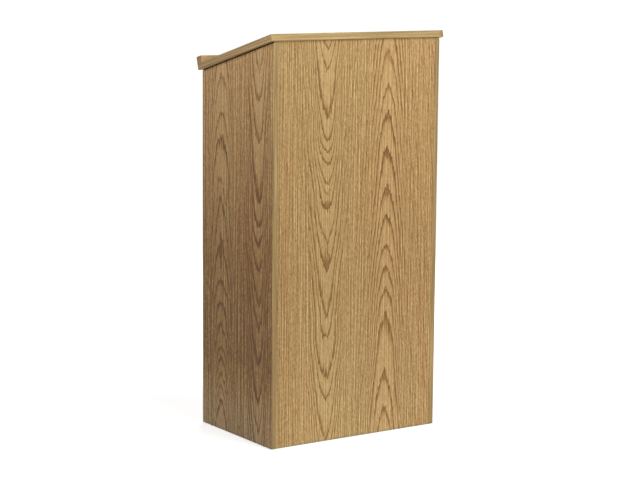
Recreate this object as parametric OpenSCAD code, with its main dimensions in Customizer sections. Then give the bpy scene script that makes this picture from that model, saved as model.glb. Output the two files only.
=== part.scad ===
// Floor-standing presentation lectern: laminated panels with edge bands, held by cam locks.
// The origin is on the floor, midway across the width and midway along the overall depth.
// +Z is up. The audience face looks along -Y, and the reader stands on the +Y side.

/* [Body] */
// Width across the outer faces of the side panels
body_w = 560; // [480:1:700]
// Depth of the side panels, from the audience face to the reader's edge
body_d = 374; // [330:1:450]
// Height of the highest edge, at the front of the reading board
overall_h = 1149; // [1080:1:1250]
// Thickness of the body panels and shelves
panel_t = 16; // [15:0.5:19]
// Step back of the front panel from the side panels' front edges
front_inset = 0.5; // [0:0.1:2]

/* [Reading board] */
// Thickness of the board
board_t = 19; // [16:0.5:25]
// Fall of the board towards the reader, in degrees
slope = 14.5; // [8:0.1:20]
// How far the board stands out past each side panel
side_overhang = 9; // [0:0.5:25]
// How far the board stands out past the audience face, along the slope
front_overhang = 7; // [2:0.5:25]
// How far the board stands out past the reader's edge, along the slope
rear_overhang = 9.5; // [2:0.5:25]
// Height of the shadow groove along each side panel's top outer edge
groove_h = 3.5; // [0.5:0.5:5]
// Depth of the shadow groove
groove_d = 3; // [1:0.5:5]

/* [Paper stop] */
// Thickness of the stop, along the slope
stop_t = 25; // [18:0.5:35]
// Height of the stop above the board
stop_h = 19; // [12:0.5:30]
// Rounding of the stop's two upper edges
stop_round = 1.5; // [0.5:0.1:4]
// Number of screws that hold the stop from beneath
stop_screw_n = 4; // [2:1:6]
// Distance of the outer screws from the stop's ends
stop_screw_in = 60; // [30:1:100]

/* [Edge bands] */
// Thickness of the bands glued on the cut edges
band_t = 1; // [0.6:0.1:2]
// Rounding of a band's outer edges
band_round = 0.6; // [0.2:0.1:0.6]

/* [Shelves] */
// Height of the bottom shelf's underside above the floor
plinth_h = 67; // [50:1:100]
// Height of the fixed shelf's underside above the floor
fixed_shelf_h = 420; // [300:1:500]
// Step back of the bottom shelf from the reader's edge
bottom_setback = 1; // [0:0.5:20]
// Step back of the fixed and the loose shelf from the reader's edge
shelf_setback = 20; // [0:1:60]
// Step back of the kick rail from the reader's edge
rail_setback = 14; // [0:1:40]
// Free space at the loose shelf's ends and front edge
loose_gap = 1; // [0.5:0.1:3]
// Height at which the loose shelf rides over its pins
rest_gap = 0.3; // [0.3:0.1:1]

/* [Shelf pins] */
// Diameter of the pin holes
pin_hole_d = 5; // [4:0.5:6]
// Depth of the pin holes
pin_hole_l = 12; // [8:0.5:13]
// Rows of pin holes in each column
pin_rows = 5; // [3:1:7]
// Distance between rows
pin_pitch = 32; // [25:1:40]
// Height of the lowest row above the floor
pin_first_h = 669; // [600:1:700]
// Row that carries the loose shelf, counted from the lowest
pin_row = 3; // [1:1:3]
// Distance of the front column from the front panel's inner face
pin_front_in = 60; // [30:1:100]
// Distance of the rear column from the reader's edge
pin_rear_in = 57; // [45:1:100]
// How far a pin reaches under the shelf
pin_reach = 9; // [7:0.5:14]
// Width of a pin's flat tongue
pin_tongue_w = 7; // [5:0.5:9]
// Thickness of a pin's flat tongue
pin_tongue_t = 1.6; // [1:0.1:2]
// Diameter of a pin's flange
pin_flange_d = 9; // [7:0.5:12]
// Thickness of a pin's flange
pin_flange_t = 0.8; // [0.5:0.1:1]

/* [Cam locks] */
// Diameter of the cam bores
cam_bore_d = 15; // [13:0.5:17]
// Depth of a cam bore past the bolt's axis
cam_below = 4.5; // [4.2:0.1:6]
// Distance from the joint face to the cam's centre
cam_reach = 24; // [22:0.5:34]
// How far a cam lies below the panel's surface
cam_sink = 0.2; // [0:0.1:1]
// Radius of the pocket that draws in the bolt's head
cam_pocket_r = 5; // [4.6:0.1:5.5]
// Throw of the cam: how far its pocket lies off the drum's axis
cam_throw = 0.6; // [0.2:0.1:1]
// Turn of the cam from open to locked, in degrees
cam_turn = 170; // [120:5:190]
// Length of the driver's cross slots
cross_l = 7; // [5:0.5:8]
// Width of the driver's cross slots
cross_w = 1.2; // [0.8:0.1:1.6]
// Depth of the driver's cross slots
cross_deep = 2.2; // [1.5:0.1:2.4]
// Diameter of a bolt's thread
thread_d = 5; // [4:0.5:6]
// Length of a bolt's thread
thread_l = 11; // [8:0.5:12]
// Diameter of a bolt's collar
collar_d = 7; // [6.5:0.1:7.5]
// Thickness of a bolt's collar
collar_t = 1.5; // [1:0.1:3]
// Diameter of a bolt's shaft
shaft_d = 6; // [5:0.1:6.4]
// Diameter of a bolt's neck
neck_d = 4; // [3:0.1:4.2]
// Diameter of a bolt's head
head_d = 6.4; // [5.5:0.1:6.6]
// Length of a bolt's head
head_l = 2.8; // [2:0.1:3]
// Diameter of the channel from the joint face to the cam
channel_d = 8; // [7.8:0.1:9]
// Diameter of a cam's cover cap
cap_d = 18; // [17.5:0.5:22]
// Thickness of a cover cap
cap_t = 0.8; // [0.5:0.1:2]

/* [Joint places] */
// Distance of a shelf's bolts from its front and rear edges
shelf_bolt_in = 60; // [40:1:90]
// Distance of the front panel's outer bolts from its ends
front_bolt_in = 150; // [120:1:200]
// Distance of the board's bolts from the front and rear of the side panels
board_bolt_in = 70; // [50:1:90]
// Distance from each bolt to the wood dowel beside it
dowel_step = 32; // [24:1:40]

/* [Dowels] */
// Diameter of the wood dowels
dowel_d = 8; // [6:0.5:8]
// Length of the wood dowels
dowel_l = 30; // [25:1:35]
// Depth of a dowel in a panel's face
dowel_in = 11; // [8:0.5:12]

/* [Screws and glides] */
// Diameter of the stop's screws
screw_d = 4; // [3:0.5:5]
// Diameter of a screw's countersunk head
screw_head_d = 8; // [7:0.5:9]
// Length of the stop's screws
screw_l = 32; // [28:1:35]
// Diameter of the floor glides
glide_d = 14; // [10:0.5:15]
// Thickness of the floor glides
glide_t = 2.5; // [2:0.1:6]
// Distance of a glide from the front and rear of a side panel
glide_in = 45; // [30:1:60]
// Diameter of a glide's nail
nail_d = 2; // [1.5:0.1:3]
// Length of a glide's nail
nail_l = 14; // [10:1:20]

/* [Clearances] */
// Space all round a fastener in its hole
fit_gap = 0.1; // [0.05:0.01:0.2]
// Space round a bolt's neck and head inside the cam
cam_gap = 0.3; // [0.2:0.05:0.4]
// Glue line where the board's side bands meet its end bands
glue_line = 0.02; // [0.01:0.01:0.05]

/* [Hidden] */
$fn = 48;

// finishes
face_laminate = [0.69, 0.56, 0.38];
edge_laminate = [0.64, 0.53, 0.36];
zinc = [0.72, 0.73, 0.74];
steel = [0.78, 0.76, 0.68];
beech = [0.83, 0.70, 0.51];
nylon = [0.88, 0.87, 0.84];
cap_plastic = [0.66, 0.52, 0.35];

left = -1;
right = 1;
sides = [left, right];
over = 1; // overcut past a face that a hole opens through

// how far a rounded square corner, tilted by the slope, falls short of the sharp one
corner_loss = cos(slope) + sin(slope) - 1;

// widths
half_w = body_w / 2;
inner_x = half_w - panel_t;
side_mid_x = half_w - panel_t / 2;
board_w = body_w + 2 * side_overhang;

// the board's length, and where it ends down the slope from the audience face
board_end = body_d / cos(slope) + rear_overhang;
board_l = front_overhang + board_end;

// depths: the overall depth is centred on the origin
front_reach = front_overhang * cos(slope) - band_round * corner_loss;
rear_reach = board_end * cos(slope) + (board_t + stop_h) * sin(slope) - stop_round * corner_loss;
face_y = (front_reach - rear_reach) / 2;
rear_y = face_y + body_d;
front_panel_y = face_y + front_inset;
front_mid_y = front_panel_y + panel_t / 2;
inner_y = front_panel_y + panel_t;
rail_mid_y = rear_y - rail_setback - panel_t / 2;

// heights
top_z = overall_h - board_t * cos(slope) - front_overhang * sin(slope) + band_round * corner_loss;
rail_h = plinth_h - glide_t;
pin_z = pin_first_h + (pin_row - 1) * pin_pitch;
pin_top = pin_hole_d / 2;
loose_shelf_h = pin_z + pin_top + rest_gap;

// places of the bolts and the dowels beside them
bottom_bolt_y = inset_pair(inner_y, rear_y - bottom_setback, shelf_bolt_in);
bottom_dowel_y = inset_pair(inner_y, rear_y - bottom_setback, shelf_bolt_in + dowel_step);
fixed_bolt_y = inset_pair(inner_y, rear_y - shelf_setback, shelf_bolt_in);
fixed_dowel_y = inset_pair(inner_y, rear_y - shelf_setback, shelf_bolt_in + dowel_step);
front_bolt_ends = inset_pair(glide_t, top_z, front_bolt_in);
front_bolt_z = [front_bolt_ends[0], (front_bolt_ends[0] + front_bolt_ends[1]) / 2, front_bolt_ends[1]];
front_dowel_z = [for (z = front_bolt_z) z + dowel_step];
rail_bolt_z = glide_t + rail_h / 3;
rail_dowel_z = glide_t + rail_h * 2 / 3;
board_bolt_s = inset_pair(0, body_d / cos(slope), board_bolt_in);
board_dowel_s = inset_pair(0, body_d / cos(slope), board_bolt_in + dowel_step);
pin_y = [inner_y + pin_front_in, rear_y - pin_rear_in];
stop_screw_s = board_end - stop_t / 2;
stop_screw_pitch = (board_w - 2 * stop_screw_in) / (stop_screw_n - 1);

// the cam lock, measured from the joint face along the bolt
cam_r = cam_bore_d / 2 - fit_gap;
cam_top = panel_t / 2 - cam_sink;
cam_bottom = fit_gap - cam_below;
head_end = head_seat(head_d / 2) + head_l;
neck_start = cam_reach - cam_r - collar_t;
cap_stub_r = cross_w;
screw_cone_l = (screw_head_d - screw_d) / 2;

// Where the pocket's wall holds the bolt's head, at a given distance from the bolt's axis
function head_seat(r) = cam_reach + cam_throw - sqrt(pow(cam_pocket_r, 2) - pow(r, 2)) + fit_gap;

// Two places, each the same distance in from an end
function inset_pair(low, high, inset) = [low + inset, high - inset];

// --- frames ---

// The board's own plane: +Y runs down the slope from the audience face, +Z stands off its underside
module on_slope() {
    translate([0, face_y, top_z]) rotate([-slope, 0, 0]) children();
}

// Everything above the board's underside, cut away from what stands beneath the board
module above_slope() {
    on_slope() translate([-board_w / 2, -board_l, 0]) cube([board_w, 3 * board_l, body_d]);
}

// Extrudes a Y-Z outline along X, centred on x
module across(x, w) {
    translate([x - w / 2, 0, 0]) rotate([90, 0, 90]) linear_extrude(w) children();
}

// Joint frames: the origin is on the joint face, +X runs along the bolt into the held piece,
// and +Z points out of the face that the cam is sunk in.
module shelf_ends(side, mid_z, places) {
    for (y = places)
        translate([side * inner_x, y, mid_z]) rotate(side == left ? [180, 0, 0] : [0, 180, 0]) children();
}

module front_ends(side, places) {
    for (z = places)
        translate([side * inner_x, front_mid_y, z]) rotate([-90, side == left ? 0 : 180, 0]) children();
}

module rail_end(side, z) {
    translate([side * inner_x, rail_mid_y, z]) rotate([90, side == left ? 0 : 180, 0]) children();
}

module board_ends(side, places) {
    on_slope()
        for (s = places)
            translate([side * side_mid_x, s, 0]) rotate([0, 90, side == left ? 0 : 180]) children();
}

// Every bolt that is screwed into a side panel's inner face
module side_bolts(side) {
    shelf_ends(side, plinth_h + panel_t / 2, bottom_bolt_y) children();
    shelf_ends(side, fixed_shelf_h + panel_t / 2, fixed_bolt_y) children();
    front_ends(side, front_bolt_z) children();
    rail_end(side, rail_bolt_z) children();
}

// Every dowel that enters a side panel's inner face
module side_dowels(side) {
    shelf_ends(side, plinth_h + panel_t / 2, bottom_dowel_y) children();
    shelf_ends(side, fixed_shelf_h + panel_t / 2, fixed_dowel_y) children();
    front_ends(side, front_dowel_z) children();
    rail_end(side, rail_dowel_z) children();
}

module all_joints() {
    for (side = sides) {
        side_bolts(side) children();
        board_ends(side, board_bolt_s) children();
    }
}

// --- outlines ---

// A bar's section on its base line, with the two upper corners rounded
module rounded_top(w, h, r) {
    difference() {
        translate([-w / 2, 0]) square([w, h]);
        for (side = sides)
            translate([side * (w / 2 - r), h - r])
                difference() {
                    translate([side == left ? -r - over : 0, 0]) square(r + over);
                    circle(r);
                }
    }
}

// --- holes and pieces of the joints, each in its joint frame ---

// Straight hole or rod along the frame's X axis
module rod(from, to, d) {
    translate([from, 0, 0]) rotate([0, 90, 0]) cylinder(h = to - from, d = d);
}

module bolt_hole() {
    rod(-thread_l - 2 * fit_gap, over, thread_d + 2 * fit_gap);
}

module cam_hole() {
    rod(-over, cam_reach, channel_d);
    translate([cam_reach, 0, -cam_below]) cylinder(h = panel_t / 2 + cam_below + over, d = cam_bore_d);
}

module dowel_hole_in_face() {
    rod(-dowel_in - fit_gap, over, dowel_d + 2 * fit_gap);
}

module dowel_hole_in_edge() {
    rod(-over, dowel_l - dowel_in + fit_gap, dowel_d + 2 * fit_gap);
}

// Drum with an eccentric pocket for the bolt's head, a mouth that lets the head in, and a slot
// that lets the neck pass as the drum is turned from the mouth to the locked place
module cam() {
    pocket_h = head_d + 2 * cam_gap;
    slot_h = neck_d + 2 * cam_gap;
    slot_lead = 2 * asin((neck_d / 2 + cam_gap) / cam_pocket_r);
    translate([cam_reach, 0, 0])
        difference() {
            translate([0, 0, cam_bottom]) cylinder(h = cam_top - cam_bottom, r = cam_r);
            translate([cam_throw, 0, 0]) {
                cylinder(h = pocket_h, r = cam_pocket_r, center = true);
                rotate([0, 0, 180 - cam_turn]) {
                    rod(0, cam_bore_d, pocket_h);
                    rotate_extrude(angle = cam_turn + slot_lead)
                        translate([0, -slot_h / 2]) square([cam_bore_d, slot_h]);
                }
            }
            for (turn = [0, 90])
                rotate([0, 0, turn]) translate([0, 0, cam_top])
                    cube([cross_l, cross_w, 2 * cross_deep], center = true);
            translate([0, 0, cam_top - cross_deep]) cylinder(h = cross_deep + over, r = cap_stub_r + fit_gap);
        }
}

// Bolt turned in one piece: thread, collar, shaft, neck and head
module bolt() {
    tip = thread_d / 8;
    rotate([0, 90, 0]) rotate_extrude()
        polygon([
            [0, -thread_l], [thread_d / 2 - tip, -thread_l], [thread_d / 2, tip - thread_l],
            [thread_d / 2, 0], [collar_d / 2, 0], [collar_d / 2, collar_t],
            [shaft_d / 2, collar_t], [shaft_d / 2, neck_start], [neck_d / 2, neck_start],
            [neck_d / 2, head_seat(neck_d / 2)], [head_d / 2, head_seat(head_d / 2)],
            [head_d / 2, head_end - tip],
            [head_d / 2 - tip, head_end], [0, head_end]
        ]);
}

// Cover cap: a bevelled disc with a stub that plugs into the cam
module cap() {
    translate([cam_reach, 0, panel_t / 2])
        rotate_extrude()
            polygon([
                [0, fit_gap - cam_sink - cross_deep], [cap_stub_r, fit_gap - cam_sink - cross_deep],
                [cap_stub_r, 0], [cap_d / 2, 0], [cap_d / 2, cap_t / 2],
                [cap_d / 2 - cap_t / 2, cap_t], [0, cap_t]
            ]);
}

module dowel() {
    bevel = dowel_d / 8;
    rotate([0, 90, 0]) translate([0, 0, -dowel_in]) rotate_extrude()
        polygon([
            [0, 0], [dowel_d / 2 - bevel, 0], [dowel_d / 2, bevel], [dowel_d / 2, dowel_l - bevel],
            [dowel_d / 2 - bevel, dowel_l], [0, dowel_l]
        ]);
}

// --- edge bands ---

// Straight band along Z, standing out along +Y from the cut edge
module band_bar(w, l) {
    linear_extrude(l, center = true) rounded_top(w, band_t, min(band_round, band_t));
}

// The same band along X, as on a shelf or the board
module band_along_x(w, l) {
    rotate([0, -90, 0]) band_bar(w, l);
}

module shelf_band(under_z, rear, l) {
    color(edge_laminate)
        translate([0, rear - band_t, under_z + panel_t / 2]) band_along_x(panel_t, l);
}

// Upright band on a side panel's front or rear edge, cut to the slope and to the shadow groove
module side_band(side, edge_y, outward) {
    color(edge_laminate)
        difference() {
            translate([side * side_mid_x, edge_y - outward * band_t, (top_z + glide_t) / 2])
                mirror([0, outward < 0 ? 1 : 0, 0]) band_bar(panel_t, top_z - glide_t);
            above_slope();
            shadow_groove(side);
        }
}

module shadow_groove(side) {
    on_slope() translate([side * half_w, board_l / 2 - front_overhang, 0])
        cube([2 * groove_d, board_l, 2 * groove_h], center = true);
}

// --- the body ---

module side_panel(side) {
    color(face_laminate)
        difference() {
            translate([side * side_mid_x - panel_t / 2, face_y + band_t, glide_t])
                cube([panel_t, body_d - 2 * band_t, top_z - glide_t]);
            above_slope();
            shadow_groove(side);
            side_bolts(side) bolt_hole();
            side_dowels(side) dowel_hole_in_face();
            board_ends(side, board_bolt_s) cam_hole();
            board_ends(side, board_dowel_s) dowel_hole_in_edge();
            for (y = pin_y, row = [0 : pin_rows - 1])
                shelf_ends(side, pin_first_h + row * pin_pitch, [y]) rod(-pin_hole_l, over, pin_hole_d);
            for (y = inset_pair(face_y, rear_y, glide_in))
                translate([side * side_mid_x, y, 0]) cylinder(h = glide_t + nail_l + fit_gap, d = nail_d + 2 * fit_gap);
        }
}

module left_side_panel() {
    side_panel(left);
}

module right_side_panel() {
    side_panel(right);
}

module front_panel() {
    color(face_laminate)
        difference() {
            translate([-inner_x, front_panel_y, glide_t]) cube([2 * inner_x, panel_t, top_z - glide_t]);
            above_slope();
            for (side = sides) {
                front_ends(side, front_bolt_z) cam_hole();
                front_ends(side, front_dowel_z) dowel_hole_in_edge();
            }
        }
}

// A shelf between the side panels, with its edge band's thickness left off
module shelf_slab(under_z, front, rear, l) {
    translate([-l / 2, front, under_z]) cube([l, rear - band_t - front, panel_t]);
}

module cam_held_shelf(under_z, rear, bolt_y, dowel_y) {
    color(face_laminate)
        difference() {
            shelf_slab(under_z, inner_y, rear, 2 * inner_x);
            for (side = sides) {
                shelf_ends(side, under_z + panel_t / 2, bolt_y) cam_hole();
                shelf_ends(side, under_z + panel_t / 2, dowel_y) dowel_hole_in_edge();
            }
        }
}

module bottom_shelf() {
    cam_held_shelf(plinth_h, rear_y - bottom_setback, bottom_bolt_y, bottom_dowel_y);
}

module fixed_shelf() {
    cam_held_shelf(fixed_shelf_h, rear_y - shelf_setback, fixed_bolt_y, fixed_dowel_y);
}

module adjustable_shelf() {
    color(face_laminate)
        shelf_slab(loose_shelf_h, inner_y + loose_gap, rear_y - shelf_setback, 2 * (inner_x - loose_gap));
}

module kick_rail() {
    color(face_laminate)
        difference() {
            translate([-inner_x, rail_mid_y - panel_t / 2, glide_t]) cube([2 * inner_x, panel_t, rail_h]);
            for (side = sides) {
                rail_end(side, rail_bolt_z) cam_hole();
                rail_end(side, rail_dowel_z) dowel_hole_in_edge();
            }
        }
}

// --- the reading board and its paper stop ---

module stop_screw_places() {
    on_slope()
        for (i = [0 : stop_screw_n - 1])
            translate([stop_screw_in - board_w / 2 + i * stop_screw_pitch, stop_screw_s, 0]) children();
}

// Shape of a countersunk screw pointing up from the board's underside, grown all round by a gap
module screw_shape(gap) {
    rotate_extrude()
        polygon([
            [0, -gap], [screw_head_d / 2 + gap, -gap], [screw_head_d / 2 + gap, gap],
            [screw_d / 2 + gap, screw_cone_l + gap], [screw_d / 2 + gap, screw_l - screw_d],
            [gap, screw_l + gap], [0, screw_l + gap]
        ]);
}

module reading_board() {
    color(face_laminate)
        difference() {
            on_slope() translate([band_t - board_w / 2, band_t - front_overhang, 0])
                cube([board_w - 2 * band_t, board_l - 2 * band_t, board_t]);
            for (side = sides) {
                board_ends(side, board_bolt_s) bolt_hole();
                board_ends(side, board_dowel_s) dowel_hole_in_face();
            }
            stop_screw_places() screw_shape(fit_gap);
        }
}

// The stop's section, standing on the board's upper face and flush with its lower end
module stop_outline() {
    translate([board_end - stop_t / 2, board_t]) rounded_top(stop_t, stop_h, stop_round);
}

module paper_stop() {
    color(face_laminate)
        difference() {
            on_slope() across(0, board_w - 2 * band_t) stop_outline();
            stop_screw_places() screw_shape(fit_gap);
        }
}

module stop_end_bands() {
    color(edge_laminate)
        on_slope()
            for (side = sides) across(side * (board_w - band_t) / 2, band_t) stop_outline();
}

module board_front_band() {
    color(edge_laminate)
        on_slope() translate([0, band_t - front_overhang, board_t / 2])
            mirror([0, 1, 0]) band_along_x(board_t, board_w);
}

module board_rear_band() {
    color(edge_laminate)
        on_slope() translate([0, board_end - band_t, board_t / 2]) band_along_x(board_t, board_w);
}

module board_side_band(side) {
    color(edge_laminate)
        on_slope() translate([side * (board_w / 2 - band_t), board_l / 2 - front_overhang, board_t / 2])
            mirror([side == left ? 1 : 0, 0, 0]) rotate([0, -90, -90])
                band_bar(board_t, board_l - 2 * band_t - 2 * glue_line);
}

module board_left_band() {
    board_side_band(left);
}

module board_right_band() {
    board_side_band(right);
}

// --- the bands of the body and shelves ---

module left_front_band() {
    side_band(left, face_y, -1);
}

module left_rear_band() {
    side_band(left, rear_y, 1);
}

module right_front_band() {
    side_band(right, face_y, -1);
}

module right_rear_band() {
    side_band(right, rear_y, 1);
}

module bottom_shelf_band() {
    shelf_band(plinth_h, rear_y - bottom_setback, 2 * inner_x);
}

module fixed_shelf_band() {
    shelf_band(fixed_shelf_h, rear_y - shelf_setback, 2 * inner_x);
}

module adjustable_shelf_band() {
    shelf_band(loose_shelf_h, rear_y - shelf_setback, 2 * (inner_x - loose_gap));
}

// --- fittings ---

module cam_locks() {
    color(zinc) all_joints() cam();
}

module cam_bolts() {
    color(steel) all_joints() bolt();
}

module cam_caps() {
    color(cap_plastic) all_joints() cap();
}

module wood_dowels() {
    color(beech)
        for (side = sides) {
            side_dowels(side) dowel();
            board_ends(side, board_dowel_s) dowel();
        }
}

// Pin in its hole, a flange against the panel and a flat tongue under the shelf
module shelf_pin() {
    intersection() {
        union() {
            rod(fit_gap - pin_hole_l, pin_reach - pin_tongue_w / 2, pin_hole_d - 2 * fit_gap);
            rod(0, pin_flange_t, pin_flange_d);
            translate([0, 0, pin_top - pin_tongue_t])
                linear_extrude(pin_tongue_t) {
                    translate([0, -pin_tongue_w / 2]) square([pin_reach - pin_tongue_w / 2, pin_tongue_w]);
                    translate([pin_reach - pin_tongue_w / 2, 0]) circle(d = pin_tongue_w);
                }
        }
        translate([-pin_hole_l, -pin_flange_d, pin_top - 2 * pin_flange_d])
            cube([pin_hole_l + pin_reach + over, 2 * pin_flange_d, 2 * pin_flange_d]);
    }
}

module shelf_pins() {
    color(steel)
        for (side = sides, y = pin_y)
            translate([side * inner_x, y, pin_z]) rotate([0, 0, side == left ? 0 : 180]) shelf_pin();
}

module stop_screws() {
    color(zinc)
        stop_screw_places()
            difference() {
                screw_shape(0);
                for (turn = [0, 90])
                    rotate([0, 0, turn]) cube([screw_head_d / 2, cross_w, screw_cone_l], center = true);
            }
}

// Nylon foot with its nail
module floor_glides() {
    bevel = glide_t / 3;
    color(nylon)
        for (side = sides, y = inset_pair(face_y, rear_y, glide_in))
            translate([side * side_mid_x, y, 0])
                rotate_extrude()
                    polygon([
                        [0, 0], [glide_d / 2 - bevel, 0], [glide_d / 2, bevel], [glide_d / 2, glide_t],
                        [nail_d / 2, glide_t], [nail_d / 2, glide_t + nail_l - nail_d], [0, glide_t + nail_l]
                    ]);
}

left_side_panel();
right_side_panel();
front_panel();
reading_board();
paper_stop();
bottom_shelf();
kick_rail();
fixed_shelf();
adjustable_shelf();
left_front_band();
left_rear_band();
right_front_band();
right_rear_band();
board_front_band();
board_rear_band();
board_left_band();
board_right_band();
stop_end_bands();
bottom_shelf_band();
fixed_shelf_band();
adjustable_shelf_band();
cam_locks();
cam_bolts();
cam_caps();
wood_dowels();
shelf_pins();
stop_screws();
floor_glides();
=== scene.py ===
import math

import bmesh
import bpy
from mathutils import Matrix, Vector


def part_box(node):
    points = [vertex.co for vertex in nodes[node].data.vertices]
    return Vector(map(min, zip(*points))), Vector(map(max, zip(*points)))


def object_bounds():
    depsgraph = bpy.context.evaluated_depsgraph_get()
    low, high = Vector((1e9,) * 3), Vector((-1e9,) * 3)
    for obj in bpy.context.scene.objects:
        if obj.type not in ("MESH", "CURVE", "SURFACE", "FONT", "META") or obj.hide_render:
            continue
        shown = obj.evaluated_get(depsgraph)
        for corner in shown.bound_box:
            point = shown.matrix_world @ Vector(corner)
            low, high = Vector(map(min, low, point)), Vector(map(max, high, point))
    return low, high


# a presentation lectern in oak-look laminate. All its shapes come from the frame, and this script gives them
# their finishes and sets the floor, the light and the camera
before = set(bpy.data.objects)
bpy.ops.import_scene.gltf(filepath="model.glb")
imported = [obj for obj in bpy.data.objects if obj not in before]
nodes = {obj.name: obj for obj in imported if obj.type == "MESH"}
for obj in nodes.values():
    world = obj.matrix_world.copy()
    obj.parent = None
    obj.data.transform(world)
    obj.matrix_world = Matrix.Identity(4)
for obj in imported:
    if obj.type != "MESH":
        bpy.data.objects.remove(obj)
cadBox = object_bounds()
print("frame loaded,", len(nodes), "nodes")


# shader maths: a node's output that takes part in plain arithmetic
class Value:
    def __init__(self, finish, socket):
        self.finish = finish
        self.socket = socket

    def math(self, operation, *values):
        return self.finish.node("ShaderNodeMath", {"operation": operation}, dict(enumerate(values)))

    def __add__(self, other):
        return self.math("ADD", self, other)

    def __sub__(self, other):
        return self.math("SUBTRACT", self, other)

    def __rsub__(self, other):
        return self.math("SUBTRACT", other, self)

    def __mul__(self, other):
        return self.math("MULTIPLY", self, other)

    def __truediv__(self, other):
        return self.math("DIVIDE", self, other)

    def __rtruediv__(self, other):
        return self.math("DIVIDE", other, self)

    def __pow__(self, other):
        return self.math("POWER", self, other)

    def __rpow__(self, other):
        return self.math("POWER", other, self)

    def __gt__(self, other):
        return self.math("GREATER_THAN", self, other)

    def __lt__(self, other):
        return self.math("LESS_THAN", self, other)

    def __abs__(self):
        return self.math("ABSOLUTE", self)

    def __floor__(self):
        return self.math("FLOOR", self)

    def atMost(self, limit):
        return self.math("MINIMUM", self, limit)

    def atLeast(self, limit):
        return self.math("MAXIMUM", self, limit)

    __radd__ = __add__
    __rmul__ = __mul__


# the node tree of one material, or of the world
class Finish:
    def __init__(self, owner):
        owner.use_nodes = True
        self.owner = owner
        self.tree = owner.node_tree
        self.tree.nodes.clear()

    def node(self, kind, settings=None, sockets=None, output=0):
        made = self.tree.nodes.new(kind)
        for name, value in (settings or {}).items():
            if name == "stops":
                self.setStops(made.color_ramp, value)
            else:
                setattr(made, name, value)
        for name, value in (sockets or {}).items():
            if isinstance(value, Value):
                self.tree.links.new(value.socket, made.inputs[name])
            else:
                made.inputs[name].default_value = value
        return Value(self, made.outputs[output]) if made.outputs else None

    def setStops(self, ramp, stops):
        ramp.interpolation = stops["between"]
        places = sorted(stops["at"])
        while len(ramp.elements) < len(places):
            ramp.elements.new(1.0)
        while len(ramp.elements) > len(places):
            ramp.elements.remove(ramp.elements[-1])
        for element, (place, shade) in zip(ramp.elements, places):
            element.position = place
            element.color = shade if isinstance(shade, tuple) else (shade, shade, shade, 1.0)

    def ramp(self, value, places, between="LINEAR"):
        stops = {"between": between, "at": places}
        return self.node("ShaderNodeValToRGB", {"stops": stops}, {"Fac": value})

    def curve(self, value, places):  # a ramp whose heights may lie below zero
        lowest = min(height for _, height in places)
        return self.ramp(value, [(place, height - lowest) for place, height in places]) + lowest

    def step(self, value, low, high):  # 0 below low, 1 above high, smooth between
        return self.node("ShaderNodeMapRange", {"interpolation_type": "SMOOTHSTEP"},
                         {"Value": value, "From Min": low, "From Max": high})

    def vector(self, x, y, z):
        return self.node("ShaderNodeCombineXYZ", sockets={"X": x, "Y": y, "Z": z})

    def noise(self, vector, detail, rough=0.5):
        return self.node("ShaderNodeTexNoise", {"noise_dimensions": "3D"},
                         {"Vector": vector, "Scale": 1.0, "Detail": detail, "Roughness": rough})

    def streaks(self, place, layer, seed, coarse=1.0):  # noise drawn out along the grain
        across = place[0] * (1 / (layer["wide"] * coarse))
        along = place[1] * (1 / layer["long"])
        return self.noise(self.vector(across, along, seed + layer["seed"]), layer["detail"])

    def sway(self, place, layer, seed, coarse=1.0):  # the same, to both sides of zero
        return self.streaks(place, layer, seed, coarse) - 0.5

    def random(self, value):
        return self.node("ShaderNodeTexWhiteNoise", {"noise_dimensions": "1D"}, {"W": value}, "Value")

    def mix(self, factor, first, second, blend="MIX"):
        return self.node("ShaderNodeMix", {"data_type": "RGBA", "blend_type": blend},
                         {0: factor, 6: first, 7: second}, 2)

    def tinted(self, colour, tint):
        return self.mix(1.0, colour, tint, "MULTIPLY")

    def coords(self, turn=0.0):  # object coordinates, turned about X
        place = self.node("ShaderNodeTexCoord", output="Object")
        return self.node("ShaderNodeMapping", {"vector_type": "POINT"},
                         {"Vector": place, "Rotation": (turn, 0.0, 0.0)})

    def scaled(self, vector, scale):
        return self.node("ShaderNodeVectorMath", {"operation": "SCALE"}, {"Vector": vector, "Scale": scale})

    def axes(self, vector, letters):
        split = self.node("ShaderNodeSeparateXYZ", sockets={"Vector": vector})
        outputs = split.socket.node.outputs
        return [Value(self, outputs[letter]) for letter in letters]

    def bump(self, height, distance, strength):
        return self.node("ShaderNodeBump", None,
                         {"Height": height, "Distance": distance, "Strength": strength})

    def close(self, sockets):
        shader = self.node("ShaderNodeBsdfPrincipled", None, sockets)
        self.node("ShaderNodeOutputMaterial", None, {"Surface": shader})
        return self.owner


def dress(node, material):
    nodes[node].material_slots[0].material = material


white = (1.0, 1.0, 1.0, 1.0)
hair = 1e-4  # metres within which corners count as lying on one face

# the board's slope and the groove under it, from the left side panel's own corners
sideCorners = [v.co for v in nodes["left_side_panel"].data.vertices]


def slopeOfTop():
    front, rear = min(c.y for c in sideCorners), max(c.y for c in sideCorners)
    high = max(c.z for c in sideCorners if c.y < front + hair)
    low = max(c.z for c in sideCorners if c.y > rear - hair)
    return math.atan2(high - low, rear - front)


boardSlope = slopeOfTop()
boardTurn = Matrix.Rotation(boardSlope, 3, "X")  # takes the board's own directions to Y and Z


def grooveUnderBoard():  # its inner wall's distance from the middle, and its floor in the board's own height
    heights = [(boardTurn @ c).z for c in sideCorners]
    top = max(heights)
    wall = min(c.x for c, height in zip(sideCorners, heights) if height > top - hair)
    floor = min(height for c, height in zip(sideCorners, heights) if abs(c.x - wall) < hair)
    return -wall, floor


grooveWall, grooveFloor = grooveUnderBoard()
print("board slope", round(math.degrees(boardSlope), 2), "degrees")


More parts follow.
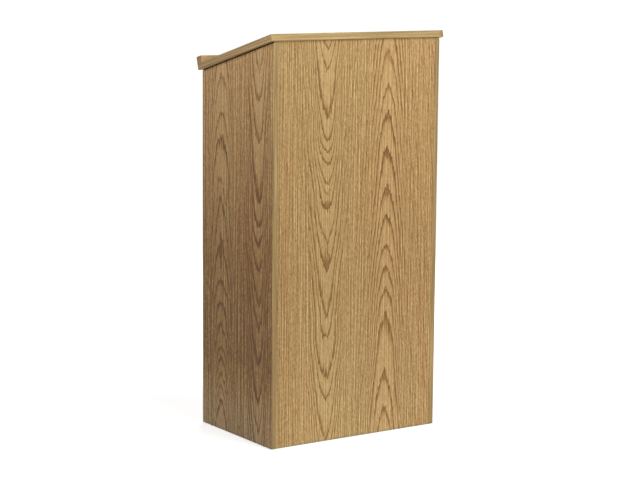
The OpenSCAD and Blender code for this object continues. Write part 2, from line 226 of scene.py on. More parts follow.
# oak-look laminate on a chipboard core. Each layer of its print is a noise, so wide across the grain and so
# long along it, with a seed that keeps it from repeating the others
oak = {
    "shades": [(0.00, (0.520, 0.357, 0.165, 1.0)), (0.30, (0.338, 0.213, 0.088, 1.0)),
               (0.60, (0.213, 0.112, 0.036, 1.0)), (1.00, (0.122, 0.055, 0.014, 1.0))],
    "rest": 0.26,                          # shade of the plain ground
    "plain": 0.05,                         # added where there are no rings
    "paper": 0.0002,                       # laminate sheet on each face
    "backShift": 0.09, "backDown": 0.031,  # the rear face shows another stretch of the print
    "contrastTop": 2.0,                    # a list of contrasts holds shares of this
    "bands": {"wide": 0.018, "long": 0.60, "seed": 1.1, "detail": 3.0, "shade": 0.03},
    "lines": {"wide": 0.0031, "long": 0.30, "seed": 2.2, "detail": 1.0, "shade": 0.72, "apart": 0.0036},
    "dashes": {"wide": 0.0026, "long": 0.008, "seed": 6.4, "detail": 1.0, "shade": 0.62,
               "rough": 0.10, "height": 0.5},
    "pores": {"wide": 0.0009, "long": 0.018, "seed": 4.5, "detail": 1.0, "shade": 0.20,
              "from": 0.56, "to": 0.70, "rough": 0.10, "height": -1.0},
    "hue": {"wide": 0.090, "long": 0.50, "seed": 5.6, "detail": 2.0, "from": 0.35, "to": 0.65},
    "green": (0.985, 1.006, 0.990, 1.0), "red": (1.024, 0.987, 0.975, 1.0),
    "rough": 0.50, "shine": 0.18, "bump": 0.00006, "bumpStrength": 0.6,
}
core = {
    "chip": 0.0028, "chipShare": 0.75, "gritPerMetre": 900.0, "gritDetail": 2.0, "gritShare": 0.3,
    "rough": 0.4, "height": 3.0,
    "light": (0.50, 0.36, 0.20, 1.0), "dark": (0.26, 0.165, 0.08, 1.0),
}

# a column of nested rings. Each ring starts at a tip in the column's middle and runs back along the grain.
# One layer of noise moves the column by metres, and the others move its lines by a number of rings
nest = {
    "shade": 0.78, "red": 1.3, "ground": -0.015,
    "calm": 0.66,                      # share of the fine lines left among the rings
    "curve": 25.0,                     # how far a ring runs back from its tip, by distance squared
    "wall": 0.045, "wallPower": 4,     # run at the reach of the column, and how suddenly it comes
    "armEnd": 1.1, "flankSlope": 9.0,  # share of the reach where the flanks begin, and their slope
    "steepest": 4.0,                   # the slopes of the tips' sides are held as shares of this
    "blunt": 0.005,                    # rounding of the tips
    "width": 0.44, "widthDark": 0.16, "widthFlank": 15.0,  # a line's width, and what dark and distance add
    "profile": [(0.0, 1.0), (0.13, 0.95), (0.24, 0.50), (0.36, 0.14), (0.55, 0.0)],
    "headDark": 0.9,                   # darkness of a ring that comes before the first tip
    "darkLeast": 0.72, "darkVaries": 0.35, "darkSeed": 7.0,
    "fillNear": 0.002, "fillFar": 0.014,   # a filled tip narrows to a line between these distances
    "fillFrom": -0.02, "fillTo": 0.06, "fillShade": 0.55, "fillJag": 2.2,
    "outerFrom": 0.006, "outerTo": 0.034,  # the rings fade out between these distances beyond the reach
    "outerLeast": 0.6, "outerVaries": 0.4, "outerSeed": 3.0, "outerCalm": 0.8,
    "columnSeed": 11.0, "meet": 0.016,     # two columns pass into each other so far to each side
    "wander": {"wide": 9.0, "long": 0.26, "seed": 0.7, "detail": 2.0, "by": 0.014},
    "wobble": {"wide": 0.018, "long": 0.110, "seed": 3.3, "detail": 2.0, "rings": 0.50},
    "jag": {"wide": 0.0040, "long": 0.045, "seed": 8.1, "detail": 1.0, "rings": 0.48},
    "drift": {"wide": 0.012, "long": 0.60, "seed": 6.2, "detail": 2.0, "rings": 1.6},
}


def namedTips(tips):  # only a filled tip gives a fill
    return [{"at": at, "dark": dark, "slope": slope, "fill": fill[0] if fill else 0.0}
            for at, dark, slope, *fill in tips]


def ringRise(f, near, reach, down, column, length):  # how far a ring has run back from its tip
    slopes = [(tip["at"] / length, tip["slope"] / nest["steepest"]) for tip in column["tips"]]
    slope = f.ramp(down / length, slopes) * nest["steepest"]
    arm = near.atMost(reach * nest["armEnd"])
    rise = arm * arm * column.get("curve", nest["curve"]) + (arm / reach) ** nest["wallPower"] * nest["wall"]
    rise = rise + (near - arm) * nest["flankSlope"]
    blunt = column.get("blunt", nest["blunt"])
    point = ((arm * arm + blunt ** 2) ** 0.5 - blunt) * slope
    return rise + point / reach * (sum(column["reach"]) / 2), arm


def ringCount(f, travel, column, length):  # counts the rings from the head, so that each tip starts one
    distances = [tip["at"] for tip in column["tips"]]
    count = len(distances)
    spacing = length / count
    start = (1 - min(distances[0] / spacing, 1.0)) / (count + 1)
    end = min(1.0, (count + (length - distances[-1]) / spacing) / (count + 1))
    places = [(distance / length, (i + 1) / (count + 1)) for i, distance in enumerate(distances)]
    beyond = travel - length if column["way"] > 0 else travel * -1
    rings = f.ramp(travel / length, [(0.0, start)] + places + [(1.0, end)]) * (count + 1)
    return rings + beyond.atLeast(0.0) / spacing * column["way"]


def perRing(f, number, column, first, what):  # each ring's own value, from the flat steps of a ramp
    tips = column["tips"]
    steps = [((i + 0.5) / (len(tips) + 1), tip[what]) for i, tip in enumerate(tips)]
    return f.ramp(number * (-column["way"] / (len(tips) + 1)), [(0.0, first)] + steps, "CONSTANT")


# how dark the column's rings are, how far each point lies past its reach, and the same from 0 to 1
def ringColumn(f, place, column, length, seed):
    across, down = place
    wander = f.sway(place, nest["wander"], seed)
    wobble = f.sway(place, nest["wobble"], seed)
    jag = f.sway(place, nest["jag"], seed)
    side = across - column["centre"] + wander * nest["wander"]["by"]
    near = abs(side)
    low, high = column["reach"]  # half-widths of the nest
    reach = (side > 0.0) * (high - low) + low
    outer = f.step(near - reach, nest["outerFrom"], nest["outerTo"])
    drift = f.sway(place, nest["drift"], seed) * outer
    rise, arm = ringRise(f, near, reach, down, column, length)
    travel = down + rise * column["way"]  # way is 1 where the tips point down, -1 where they point up
    uneven = wobble * nest["wobble"]["rings"] + jag * nest["jag"]["rings"]
    shift = uneven * (1 - outer * nest["outerCalm"]) + drift * nest["drift"]["rings"]
    rings = (ringCount(f, travel, column, length) + shift) * -column["way"]
    number = math.floor(rings)
    phase = rings - number

    dark = perRing(f, number, column, nest["headDark"], "dark")
    fill = perRing(f, number, column, 0.0, "fill")
    fill = fill * (1 - f.step(arm, nest["fillNear"], nest["fillFar"])) * (jag * nest["fillJag"] + 1)
    width = arm * column.get("flank", nest["widthFlank"]) + dark * nest["widthDark"] + nest["width"]
    line = f.ramp(phase / width, nest["profile"])
    line = line.atLeast(f.step(fill - phase, nest["fillFrom"], nest["fillTo"]) * nest["fillShade"])
    dark = dark * (f.random(number + seed * nest["darkSeed"]) * nest["darkVaries"] + nest["darkLeast"])
    fade = f.random(number * nest["outerSeed"] + seed) * nest["outerVaries"] + nest["outerLeast"]
    return line * dark * (1 - outer * fade), near - reach, outer


def nestedRings(f, place, panel):
    columns = []
    for i, column in enumerate(panel["columns"]):
        column = {**column, "tips": namedTips(column["tips"])}
        seed = panel["seed"] + nest["columnSeed"] * (i + 1)
        columns.append(ringColumn(f, place, column, panel["length"], seed))
    rings, near, outer = columns[0]
    for otherRings, otherNear, otherOuter in columns[1:]:  # each column keeps the ground nearer to it
        other = f.step(near - otherNear, -nest["meet"], nest["meet"])
        rings = rings * (1 - other) + otherRings * other
        outer = outer * (1 - other) + otherOuter * other
    return rings, outer


# painted shadow in the groove under the board: the painted shade ends a little below its floor, and is full
# just above it
grooveShadow = {"shadow": (0.030, 0.010, 0.001, 1.0), "fade": 0.0014, "full": 0.0001}


# where the groove's painted shadow lies: its floor and wall, and the outer face just below it
def grooveShadowMask(f):
    x = f.axes(f.coords(), "X")[0]
    height = f.axes(f.coords(boardSlope), "Z")[0]
    stained = f.step(height, grooveFloor - grooveShadow["fade"], grooveFloor + grooveShadow["full"])
    return (abs(x) > grooveWall - hair) * stained


# a greyer, darker strip along the foot of the carcase, and along the rear edge of its sides
greyFoot = {"tint": (0.78, 0.90, 1.08, 1.0), "from": 0.0015, "to": 0.0085}


def greyFootEdge(f, rear):
    y, z = f.axes(f.coords(), "YZ")
    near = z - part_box("left_side_panel")[0].z
    if rear:
        near = near.atMost(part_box("left_rear_band")[1].y - y)
    return f.mix(f.step(near, greyFoot["from"], greyFoot["to"]), greyFoot["tint"], white)


def chipCore(f, across, along, through):  # colour of the chipboard, and its grit
    chips = f.node("ShaderNodeTexVoronoi", {"voronoi_dimensions": "3D"},
                   {"Vector": f.coords(), "Scale": 1 / core["chip"]}, "Color")
    chip = f.axes(chips, "X")[0]
    fine = [axis * core["gritPerMetre"] for axis in (across, along, through)]
    grit = f.noise(f.vector(*fine), core["gritDetail"])
    return f.mix(chip * core["chipShare"] + grit * core["gritShare"], core["dark"], core["light"]), grit


def faceMasks(through, panel):  # 1 on the rear half of its thickness, and 1 between its two sheets
    low, high = panel["faces"]
    back = through > (low + high) / 2
    if panel.get("backIsLow"):
        back = 1 - back
    return back, (through > low + oak["paper"]) * (through < high - oak["paper"])


def fineGrain(f, place, panel):  # lines and dashes together, then the dashes and the pores by themselves
    seed = panel["seed"]
    coarse = panel.get("coarse", 1.0)
    across, down = place
    beside = (across + oak["lines"]["apart"] * coarse, down)
    lines = f.streaks(place, oak["lines"], seed, coarse)
    lines = lines - f.streaks(beside, oak["lines"], seed, coarse)  # so that no broad streaks are left
    dashes = f.sway(place, oak["dashes"], seed, coarse)
    pores = f.step(f.streaks(place, oak["pores"], seed), oak["pores"]["from"], oak["pores"]["to"])
    return lines * oak["lines"]["shade"] + dashes * oak["dashes"]["shade"], dashes, pores


def ringedGrain(f, place, panel, grain):  # the rings, and the grain with them in it
    if not panel["columns"]:
        return 0.0, grain + oak["plain"]
    rings, outer = nestedRings(f, place, panel)
    grain = grain * (outer * (1 - nest["calm"]) + nest["calm"]) + rings * nest["shade"]
    return rings, grain + outer * (oak["plain"] - nest["ground"]) + nest["ground"]


def panelTone(f, shade, panel, across, down):  # lighter and darker stretches of the whole panel: painted light and shade down its height, a darker edge across it
    if "tone" in panel:
        shade = shade + f.curve(down / panel["length"], panel["tone"])
    if "edgeTone" in panel:
        edgeTone = [(0.0, panel["edgeTone"]), (1.0, 0.0)]
        shade = shade + f.ramp((across - panel["start"]) / panel["edge"], edgeTone)
    return shade


def printColour(f, shade, rings, place, panel, across):
    hue = f.streaks(place, oak["hue"], panel["seed"])
    if "hueTone" in panel:  # 0.5 changes nothing
        hue = hue + f.ramp((across - panel["start"]) / panel["width"], panel["hueTone"]) - 0.5
    hue = f.step(hue, oak["hue"]["from"], oak["hue"]["to"]) + rings * nest["red"]
    colour = f.tinted(f.ramp(shade, oak["shades"]), f.mix(hue, oak["green"], oak["red"]))
    # a tint down the length; on the left side it is painted light and shade
    if "tint" in panel:
        colour = f.tinted(colour, f.ramp(place[1] / panel["length"], panel["tint"]))
    return colour


def laminate(name, panel):
    f = Finish(bpy.data.materials.new(name))
    across, along, through = f.axes(f.coords(panel.get("turn", 0.0)), panel["axes"])
    down = (along * -1 + panel["head"]) if panel.get("upright") else (along - panel["head"])
    wrapped = panel.get("wrapped")
    if wrapped:  # the print runs on over its narrow faces
        side = across + through
    else:
        back, raw = faceMasks(through, panel)
        side = across + back * panel.get("backShift", oak["backShift"])
        down = down + back * oak["backDown"]
    place = (side, down)

    grain, dashes, pores = fineGrain(f, place, panel)
    rings, grain = ringedGrain(f, place, panel, grain)
    contrast = panel.get("contrast", 1.0)
    if isinstance(contrast, list):
        contrast = f.ramp(down / panel["length"], contrast) * oak["contrastTop"]
    bands = f.sway(place, oak["bands"], panel["seed"])
    shade = bands * oak["bands"]["shade"] + grain * contrast + pores * oak["pores"]["shade"] + oak["rest"]
    shade = panelTone(f, shade, panel, across, down)
    colour = printColour(f, shade, rings, place, panel, across)
    rough = pores * oak["pores"]["rough"] + dashes * oak["dashes"]["rough"] + oak["rough"]
    height = pores * oak["pores"]["height"] + dashes * oak["dashes"]["height"]

    if not wrapped:  # bare core where a cut edge has no band
        chips, grit = chipCore(f, across, along, through)
        colour = f.mix(raw, colour, chips)
        rough = rough + raw * core["rough"]
        height = height * (1 - raw) + raw * grit * core["height"]
    if panel.get("greyFoot"):
        colour = f.tinted(colour, greyFootEdge(f, True))
    if panel.get("shadowedGroove"):
        # the groove's painted shadow
        colour = f.mix(grooveShadowMask(f), colour, grooveShadow["shadow"])
    return f.close({"Base Color": colour, "Roughness": rough, "Specular IOR Level": oak["shine"],
                    "Normal": f.bump(height, oak["bump"], oak["bumpStrength"])})


frontLow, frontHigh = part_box("front_panel")
leftLow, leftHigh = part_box("left_side_panel")
rightLow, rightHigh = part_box("right_side_panel")
bandLow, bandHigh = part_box("board_front_band")
boardLow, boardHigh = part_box("reading_board")
head = frontHigh.z
bodyLength = frontHigh.z - frontLow.z
rightLead = 0.2  # the right side's print starts so far over its top
boardWide = boardHigh.x - boardLow.x
boardFront = (boardTurn @ Vector((0, bandLow.y, bandLow.z))).y  # its front edge in its own direction

# each panel's axes are across the grain, along it and through the panel. Its print starts at the head, and
# tone, tint and contrast run from there over the length; the front's and the left side's tone and the left
# side's tint are painted light and shade. A tip is its distance from the head, its darkness, the slope of
# its sides and, where its dark fills it, how far
frontPanel = {
    "axes": "XZY", "faces": (frontLow.y, frontHigh.y), "head": head, "upright": True, "length": bodyLength,
    "seed": 2.0, "greyFoot": True,
    # tone: painted light and shade, the middle of the height darker than the top and the foot
    "tone": [(0.0, 0.0), (0.30, 0.06), (0.60, 0.09), (0.90, 0.03), (1.0, 0.0)],
    # hueTone runs over the width from the start, and edgeTone fades out over the edge
    "start": frontLow.x, "width": frontHigh.x - frontLow.x, "edge": 0.09, "edgeTone": 0.05,
    "tint": [(0.0, (0.975, 1.0, 1.0, 1.0)), (1.0, (0.957, 1.0, 1.0, 1.0))],
    "hueTone": [(0.0, 0.15), (0.04, 0.45), (0.10, 0.46), (0.20, 0.42), (0.54, 0.42), (0.62, 0.58),
                (1.0, 0.64)],
    "columns": [
        {"centre": -0.100, "reach": (0.036, 0.028), "way": 1, "tips": [
            (0.034, 0.6, 2.2), (0.085, 0.7, 2.2, 0.15), (0.215, 0.75, 1.9, 0.13), (0.276, 0.8, 0.5),
            (0.309, 0.8, 0.5), (0.342, 0.8, 0.7), (0.399, 0.6, 1.3), (0.423, 0.5, 1.3),
            (0.471, 1.0, 0.8, 0.6), (0.560, 0.5, 1.8), (0.645, 1.0, 3.2, 0.9), (0.774, 0.8, 2.8),
            (0.834, 0.7, 0.4), (0.955, 0.68, 1.6), (1.010, 0.65, 1.9), (1.119, 0.6, 1.9)]},
        {"centre": 0.102, "reach": (0.030, 0.033), "way": -1, "tips": [
            (0.024, 0.6, 2.2, 0.3), (0.132, 0.8, 1.7, 0.15), (0.204, 0.9, 1.5, 0.22),
            (0.312, 0.85, 1.7, 0.3), (0.410, 0.9, 1.9, 0.5), (0.494, 0.8, 1.7, 0.22),
            (0.577, 0.8, 1.5, 0.15), (0.646, 0.9, 1.3, 0.3), (0.709, 1.0, 1.0, 0.25),
            (0.777, 0.8, 1.3, 0.2), (0.944, 0.75, 2.2, 0.35), (1.053, 0.7, 1.8)]},
    ],
}
sideTipsUp = [
    (0.092, 0.5, 1.6), (0.205, 0.6, 1.3), (0.270, 0.9, 1.2, 0.1), (0.400, 0.6, 0.2), (0.445, 0.8, 2.6),
    (0.560, 0.9, 2.6, 0.7), (0.680, 0.6, 1.4), (0.752, 1.0, 0.2, 0.15), (0.815, 0.7, 1.2), (0.880, 1.0, 0.9),
    (0.912, 1.0, 0.9), (0.957, 0.9, 1.2), (0.995, 0.6, 1.4), (1.035, 0.7, 1.6)]
sideTipsDown = [
    (0.085, 0.5, 1.6), (0.172, 0.6, 1.6, 0.12), (0.287, 0.8, 2.2, 0.2), (0.447, 0.8, 1.0, 0.2),
    (0.520, 1.0, 0.8, 0.3), (0.572, 1.0, 0.9, 0.45), (0.642, 0.8, 1.3, 0.15), (0.737, 0.8, 1.6, 0.3),
    (0.802, 0.9, 1.6, 0.3), (0.917, 1.0, 2.2, 0.3), (1.017, 0.8, 2.0), (1.092, 0.7, 1.8)]
leftSide = {
    "axes": "YZX", "faces": (leftLow.x, leftHigh.x), "head": head, "upright": True, "length": bodyLength,
    "seed": 31.0, "coarse": 1.45, "shadowedGroove": True, "greyFoot": True,
    "contrast": [(0.0, 0.49), (0.25, 0.56), (0.50, 0.68), (0.80, 0.94), (1.0, 0.60)],
    # tint and tone down the height are painted light and shade: the top lighter and bluer, the lower middle
    # darker and warmer, the foot lighter and bluer again
    "tint": [(0.0, (0.94, 0.957, 1.02, 1.0)), (0.35, (1.00, 0.972, 0.955, 1.0)),
             (0.55, (1.00, 0.942, 0.81, 1.0)), (0.85, (1.00, 0.943, 0.79, 1.0)),
             (0.94, (0.96, 0.95, 1.00, 1.0)), (1.0, (0.93, 0.96, 1.10, 1.0))],
    "tone": [(0.0, 0.025), (0.25, 0.025), (0.36, 0.06), (0.55, 0.195), (0.80, 0.255), (0.90, 0.04),
             (1.0, -0.07)],
    "columns": [
        {"centre": leftHigh.y - 0.101, "reach": (0.040, 0.034), "curve": 8.0, "flank": 10.0, "blunt": 0.003,
         "way": -1, "tips": sideTipsUp},
        {"centre": leftHigh.y - 0.305, "reach": (0.023, 0.037), "curve": 10.0, "flank": 24.0, "blunt": 0.002,
         "way": 1, "tips": sideTipsDown},
    ],
}
rightSide = {
    "axes": "YZX", "faces": (rightLow.x, rightHigh.x), "head": head + rightLead, "upright": True,
    "length": bodyLength + rightLead, "seed": 57.0, "backIsLow": True, "coarse": 1.15, "contrast": 1.08,
    "shadowedGroove": True, "greyFoot": True,
    "columns": [
        {"centre": rightLow.y + 0.095, "reach": (0.032, 0.022), "way": 1, "tips": sideTipsDown},
        {"centre": rightLow.y + 0.280, "reach": (0.022, 0.030), "way": -1, "tips": sideTipsUp},
    ],
}
shelfTips = [
    (0.055, 0.7, 2.0), (0.105, 0.8, 1.0), (0.190, 1.0, 0.4), (0.235, 0.7, 0.2), (0.300, 0.8, 0.8),
    (0.380, 0.9, 2.2), (0.425, 0.7, 1.5), (0.500, 0.8, 0.5)]


def lying(node, seed, centre, way=1):  # a shelf with its grain along X
    low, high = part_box(node)
    return {
        "axes": "YXZ", "faces": (low.z, high.z), "head": low.x, "length": high.x - low.x,
        "seed": seed, "backShift": 0.07,
        "columns": [{"centre": centre, "reach": (0.030, 0.026), "way": way, "tips": shelfTips}],
    }


def boardFaces():  # lowest and highest face of the board in its own directions
    heights = [(boardTurn @ v.co).z for v in nodes["reading_board"].data.vertices]
    return min(heights), max(heights)


lecternParts = {
    "front_panel": frontPanel,
    "left_side_panel": leftSide,
    "right_side_panel": rightSide,
    "bottom_shelf": lying("bottom_shelf", 71.0, 0.02),
    "fixed_shelf": lying("fixed_shelf", 83.0, -0.04, -1),
    "adjustable_shelf": lying("adjustable_shelf", 97.0, 0.03),
    "reading_board": {
        "axes": "YXZ", "turn": boardSlope, "faces": boardFaces(), "head": boardLow.x, "length": boardWide,
        "seed": 113.0, "backIsLow": True, "backShift": 0.08,
        "columns": [
            {"centre": boardFront + 0.13, "reach": (0.030, 0.024), "way": 1, "tips": shelfTips},
            {"centre": boardFront + 0.30, "reach": (0.024, 0.034), "way": -1, "tips": shelfTips},
        ],
    },
    "paper_stop": {
        "axes": "ZXY", "turn": boardSlope, "wrapped": True, "head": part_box("paper_stop")[0].x,
        "length": boardWide, "seed": 131.0, "columns": [], "tint": [(0.0, (0.73, 0.80, 0.77, 1.0))],
    },
    "kick_rail": {
        "axes": "ZXY", "faces": (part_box("kick_rail")[0].y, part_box("kick_rail")[1].y),
        "head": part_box("kick_rail")[0].x, "seed": 149.0, "columns": [],
    },
}
for node, panel in lecternParts.items():
    dress(node, laminate("oakLaminate." + node, panel))
print("laminate on", len(lecternParts), "panels")


# edge bands: the same print without rings, a little greener
band = {
    "shades": [(0.0, (0.470, 0.338, 0.165, 1.0)), (0.40, (0.318, 0.212, 0.094, 1.0)),
               (1.0, (0.150, 0.088, 0.032, 1.0))],
    "lines": {"wide": 0.0028, "long": 0.30, "detail": 3.0, "noiseRough": 0.6, "from": 0.30, "to": 0.80},
    "pores": {"wide": 0.0009, "long": 0.016, "detail": 1.0, "noiseRough": 0.5, "from": 0.55, "to": 0.70,
              "shade": 0.16, "rough": 0.10, "height": -1.0},
    "rest": 0.05,
    "usual": 0.75, "evenOut": 0.45,  # a band with more grain than usual starts from a lighter shade
    "rough": 0.50, "shine": 0.18, "bump": 0.00005, "bumpStrength": 0.5,
    "seed": 2.0, "seedStep": 5.3,
}


def bandLayer(f, axes, layer, seed):
    first, second, along = axes
    place = f.vector(first / layer["wide"], along / layer["long"], second / layer["wide"] + seed)
    return f.step(f.noise(place, layer["detail"], layer["noiseRough"]), layer["from"], layer["to"])


def edgeBand(name, group, seed):
    f = Finish(bpy.data.materials.new(name))
    axes = f.axes(f.coords(group.get("turn", 0.0)), group["axes"])
    lines = bandLayer(f, axes, band["lines"], seed)
    pores = bandLayer(f, axes, band["pores"], seed)
    shade = lines * group["grain"] + pores * band["pores"]["shade"] + band["rest"]
    shade = shade + (band["usual"] - group["grain"]) * band["evenOut"]
    low, high = group["ends"]
    # tone along the band; on the left upright bands and the board's front band it is painted light
    shade = shade + f.curve((axes[-1] - low) / (high - low), group["tone"])
    colour = f.tinted(f.ramp(shade, band["shades"]), group["tint"])
    if group.get("upright"):
        # upright bands take the greyer foot, and the groove's painted shadow
        colour = f.mix(grooveShadowMask(f), f.tinted(colour, greyFootEdge(f, False)), grooveShadow["shadow"])
    return f.close({"Base Color": colour, "Roughness": pores * band["pores"]["rough"] + band["rough"],
                    "Specular IOR Level": band["shine"],
                    "Normal": f.bump(pores * band["pores"]["height"], band["bump"], band["bumpStrength"])})


# a group's last axis is along its bands, and its tone runs between the ends. first is how many bands like
# them come before, so that each has its own seed
uprightBand = {
    "axes": "XYZ", "tint": (0.74, 0.725, 0.652, 1.0), "grain": 0.85, "ends": (leftLow.z, leftHigh.z),
    "upright": True,
}
bandGroups = [
    {**uprightBand, "bands": ["left_front_band", "left_rear_band"],
     # tone up the height is painted light: darker in the lower part, lightest at the top
     "tone": [(0.0, 0.13), (0.13, 0.13), (0.28, 0.17), (0.40, 0.14), (0.50, 0.07), (0.90, 0.0),
              (1.0, -0.12)]},
    {**uprightBand, "bands": ["right_front_band", "right_rear_band"], "first": 2,
     "tone": [(0.0, 0.02), (0.30, 0.03), (0.60, 0.02), (0.85, 0.07), (1.0, 0.0)]},
    {"bands": ["bottom_shelf_band", "fixed_shelf_band", "adjustable_shelf_band"],
     "axes": "YZX", "tint": (0.80, 0.80, 0.74, 1.0), "grain": 0.75, "ends": (leftLow.x, rightHigh.x),
     "tone": [(0.0, 0.0)]},
    {"bands": ["board_front_band", "board_rear_band"], "turn": boardSlope,
     "axes": "YZX", "tint": (0.90, 0.92, 0.80, 1.0), "grain": 0.75, "ends": (bandLow.x, bandHigh.x),
     # tone: painted light, lighter at the left end and darker towards the right, with a dark mark over its
     # last 15 mm at the right end
     "tone": [(0.0, -0.06), (0.12, 0.02), (0.974, 0.12), (0.984, 0.26), (0.992, 0.36), (1.0, 0.46)]},
    {"bands": ["board_left_band", "board_right_band", "stop_end_bands"], "turn": boardSlope,
     "axes": "XZY", "tint": (0.745, 0.715, 0.74, 1.0), "grain": 0.75, "ends": (leftLow.x, rightHigh.x),
     "tone": [(0.0, 0.0)]},
]
for group in bandGroups:
    for i, node in enumerate(group["bands"]):
        seed = (i + group.get("first", 0)) * band["seedStep"] + band["seed"] + group.get("turn", 0.0)
        dress(node, edgeBand("oakBand." + node, group, seed))
print("edge bands finished")


# fittings of cast or plated metal and of plastic
fittings = {
    "cam_locks": {"finish": "castZinc", "colour": (0.46, 0.46, 0.47), "rough": 0.50, "grain": 0.0009},
    "cam_bolts": {"finish": "platedBolts", "colour": (0.62, 0.58, 0.46), "rough": 0.32, "grain": 0.0012},
    "shelf_pins": {"finish": "platedPins", "colour": (0.62, 0.58, 0.46), "rough": 0.30, "grain": 0.0012},
    "stop_screws": {"finish": "zincScrews", "colour": (0.52, 0.52, 0.53), "rough": 0.34, "grain": 0.0009},
    "cam_caps": {"finish": "capPlastic", "colour": (0.34, 0.21, 0.09), "rough": 0.50, "grain": 0.0007,
                 "metallic": 0.0, "bump": 0.00003},
    "floor_glides": {"finish": "nylonGlides", "colour": (0.74, 0.72, 0.64), "rough": 0.46, "grain": 0.0010,
                     "metallic": 0.0, "bump": 0.00003, "uneven": 0.05},
}
cast = {
    "uneven": 0.12, "patchesPerMetre": 180.0,  # how far the colour varies, and the number of its patches
    "detail": 2.0, "roughVaries": 0.18, "metallic": 1.0, "bump": 0.00004, "bumpStrength": 0.5,
}


def castFinish(settings):
    f = Finish(bpy.data.materials.new(settings["finish"]))
    place = f.coords()
    patches = f.noise(f.scaled(place, cast["patchesPerMetre"]), cast["detail"])
    grain = f.noise(f.scaled(place, 1 / settings["grain"]), cast["detail"])
    uneven = settings.get("uneven", cast["uneven"])
    light = tuple(min(1.0, c * (1 + uneven)) for c in settings["colour"]) + (1.0,)
    dark = tuple(c * (1 - uneven) for c in settings["colour"]) + (1.0,)
    rough = grain * cast["roughVaries"] + (settings["rough"] - cast["roughVaries"] / 2)
    return f.close({"Base Color": f.mix(patches, dark, light), "Roughness": rough,
                    "Metallic": settings.get("metallic", cast["metallic"]),
                    "Normal": f.bump(grain, settings.get("bump", cast["bump"]), cast["bumpStrength"])})


beech = {
    "light": (0.66, 0.46, 0.27, 1.0), "dark": (0.42, 0.26, 0.13, 1.0), "lightAt": 0.25, "darkAt": 0.85,
    "grain": {"wide": 0.0016, "long": 0.012, "detail": 3.0},
    "fleck": {"wide": 0.0005, "long": 0.003, "detail": 1.0, "from": 0.60, "to": 0.70, "shade": 0.25,
              "rough": 0.05},
    "rough": 0.62, "bump": 0.00008, "bumpStrength": 0.5,
}


def dowelLayer(f, axes, layer):
    x, y, z = axes
    return f.noise(f.vector(x / layer["long"], y / layer["wide"], z / layer["wide"]), layer["detail"])


def dowelWood(name):
    f = Finish(bpy.data.materials.new(name))
    axes = f.axes(f.coords(), "XYZ")
    grain = dowelLayer(f, axes, beech["grain"])
    fleck = f.step(dowelLayer(f, axes, beech["fleck"]), beech["fleck"]["from"], beech["fleck"]["to"])
    colour = f.ramp(grain + fleck * beech["fleck"]["shade"],
                    [(beech["lightAt"], beech["light"]), (beech["darkAt"], beech["dark"])])
    return f.close({"Base Color": colour, "Roughness": fleck * beech["fleck"]["rough"] + beech["rough"],
                    "Normal": f.bump(grain, beech["bump"], beech["bumpStrength"])})


for node, settings in fittings.items():
    dress(node, castFinish(settings))
dress("wood_dowels", dowelWood("beechDowels"))
print("fittings finished")


# floor, light and camera
studio = {
    "floorReach": 90.0, "floorShade": (0.60, 0.60, 0.60, 1.0), "floorRough": 0.9, "floorGlow": 0.70,
    "sky": (0.050, 0.050, 0.051, 1.0), "behind": white,
    "sunFrom": (0.35, -0.75, 0.60), "sun": 2.9, "sunAngle": 50.0, "sunColour": (1.0, 0.99, 0.965),
    "softBoxes": [
        {"at": (0.4, -1.7, 2.2), "aim": (0.0, -0.1, 0.95), "size": 0.9, "power": 17.0},
        {"at": (-0.85, -0.1, 1.65), "aim": (-0.28, 0.0, 1.08), "size": 0.4, "power": 6.9},
        {"at": (1.5, 2.1, 1.5), "aim": (0.0, 0.1, 0.60), "size": 1.2, "power": 42.0},
    ],
}


def makeFloor():
    mesh = bpy.data.meshes.new("floor")
    shape = bmesh.new()
    bmesh.ops.create_grid(shape, x_segments=1, y_segments=1, size=studio["floorReach"])
    shape.to_mesh(mesh)
    shape.free()
    floor = bpy.data.objects.new("floor", mesh)
    bpy.context.scene.collection.objects.link(floor)
    f = Finish(bpy.data.materials.new("paleFloor"))
    mesh.materials.append(f.close({
        "Base Color": studio["floorShade"], "Roughness": studio["floorRough"], "Specular IOR Level": 0.0,
        "Emission Color": white, "Emission Strength": studio["floorGlow"]}))


def hangLamp(name, light, direction):
    lamp = bpy.data.objects.new(name, light)
    lamp.rotation_mode = "QUATERNION"
    lamp.rotation_quaternion = direction.to_track_quat("Z", "Y")
    bpy.context.scene.collection.objects.link(lamp)
    return lamp


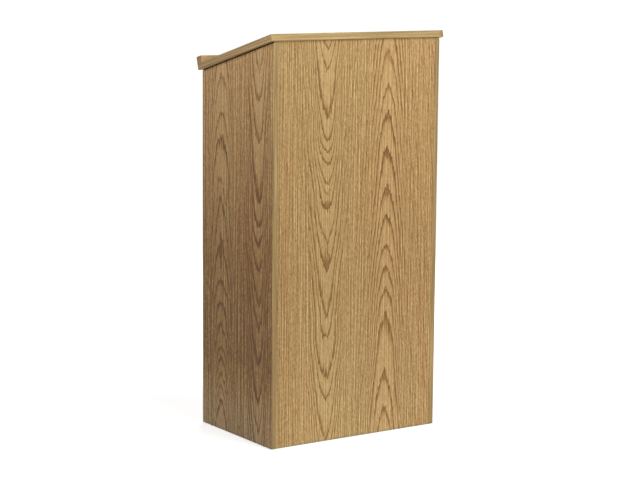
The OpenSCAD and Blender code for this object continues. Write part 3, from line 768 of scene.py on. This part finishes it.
def makeLight():
    sun = bpy.data.lights.new("key", "SUN")
    sun.energy = studio["sun"]
    sun.angle = math.radians(studio["sunAngle"])
    sun.color = studio["sunColour"]
    hangLamp("key", sun, Vector(studio["sunFrom"]))
    for i, box in enumerate(studio["softBoxes"]):
        light = bpy.data.lights.new(f"softBox{i}", "AREA")
        light.shape = "SQUARE"
        light.size = box["size"]
        light.energy = box["power"]
        lamp = hangLamp(f"softBox{i}", light, Vector(box["at"]) - Vector(box["aim"]))
        lamp.location = box["at"]
        lamp.visible_camera = False


def makeWorld():  # a dim sky lights the lectern, and plain white stands behind it
    world = bpy.data.worlds.new("studio")
    f = Finish(world)
    sky = f.node("ShaderNodeBackground", None, {"Color": studio["sky"]})
    behind = f.node("ShaderNodeBackground", None, {"Color": studio["behind"]})
    seen = f.node("ShaderNodeLightPath", output="Is Camera Ray")
    both = f.node("ShaderNodeMixShader", None, {0: seen, 1: sky, 2: behind})
    f.node("ShaderNodeOutputWorld", None, {"Surface": both})
    bpy.context.scene.world = world
    bpy.context.scene.view_settings.view_transform = "Standard"


shot = {
    "azimuth": -34.025, "elevation": 8.745, "roll": 0.48, "distance": 5.5525,
    "lens": 108.16, "aimOffset": (0.0016, -0.0069, -0.0312), "farthest": 300.0,
}


def makeCamera():
    centre = (cadBox[0] + cadBox[1]) / 2
    turn, rise, roll = (math.radians(shot[k]) for k in ("azimuth", "elevation", "roll"))
    back = Vector((math.sin(turn) * math.cos(rise), -math.cos(turn) * math.cos(rise), math.sin(rise)))
    flat = (-back).cross(Vector((0, 0, 1))).normalized()
    up = flat.cross(-back)
    right = flat * math.cos(roll) + up * math.sin(roll)
    top = up * math.cos(roll) - flat * math.sin(roll)
    data = bpy.data.cameras.new("camera")
    data.lens = shot["lens"]
    data.clip_end = shot["farthest"]
    camera = bpy.data.objects.new("camera", data)
    place = Matrix((right, top, back)).transposed().to_4x4()
    place.translation = centre + Vector(shot["aimOffset"]) + back * shot["distance"]
    camera.matrix_world = place
    bpy.context.scene.collection.objects.link(camera)
    bpy.context.scene.camera = camera


makeFloor()
makeLight()
makeWorld()
makeCamera()
print("stage, light and camera set")
